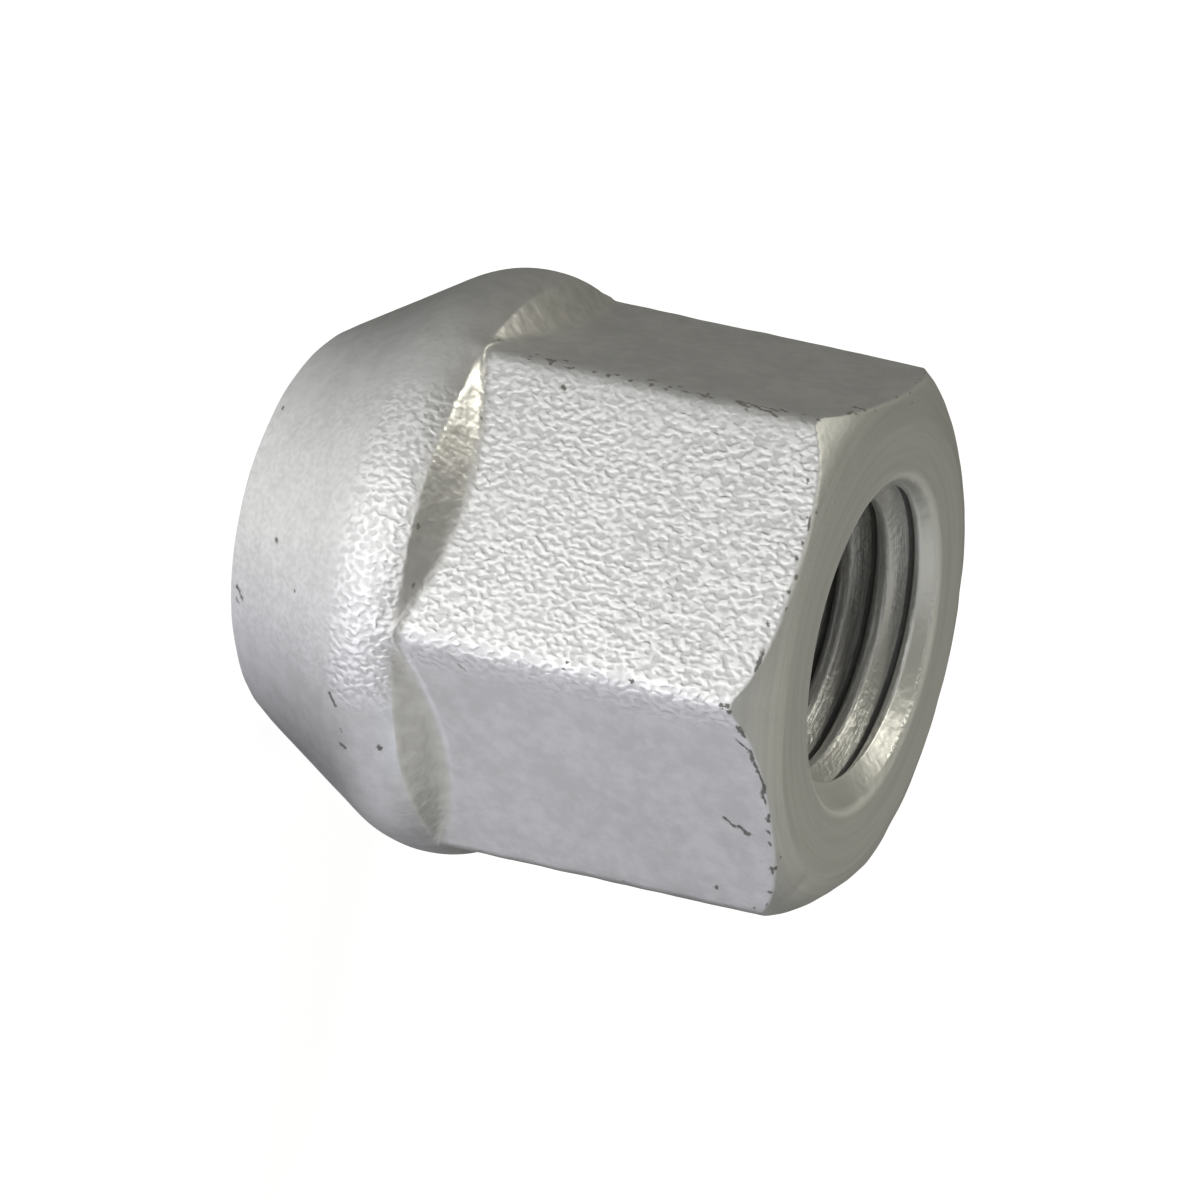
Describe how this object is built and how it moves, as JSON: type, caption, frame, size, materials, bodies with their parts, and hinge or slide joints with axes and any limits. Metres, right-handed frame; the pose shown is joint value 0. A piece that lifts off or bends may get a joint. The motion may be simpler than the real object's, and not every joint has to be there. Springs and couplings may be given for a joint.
{
  "type": "lug nut",
  "caption": "Open-ended hexagonal wheel nut with a bulged collar and a conical seat, threaded right through.",
  "frame": {"origin": "centre of the small end face, on the thread's axis", "axes": "+Z along the thread's axis, from the conical seat to the open end of the hexagon; +X square to one of the six flats"},
  "size_m": [0.0222, 0.0222, 0.0225],
  "materials": {
    "zinc_flake_steel": "dull silver zinc-flake coating on forged steel, fine raised grain on the flats, darker nicks along the edges"
  },
  "bodies": {
    "root": {"lug_nut": "zinc_flake_steel"}
  },
  "joints": []
}
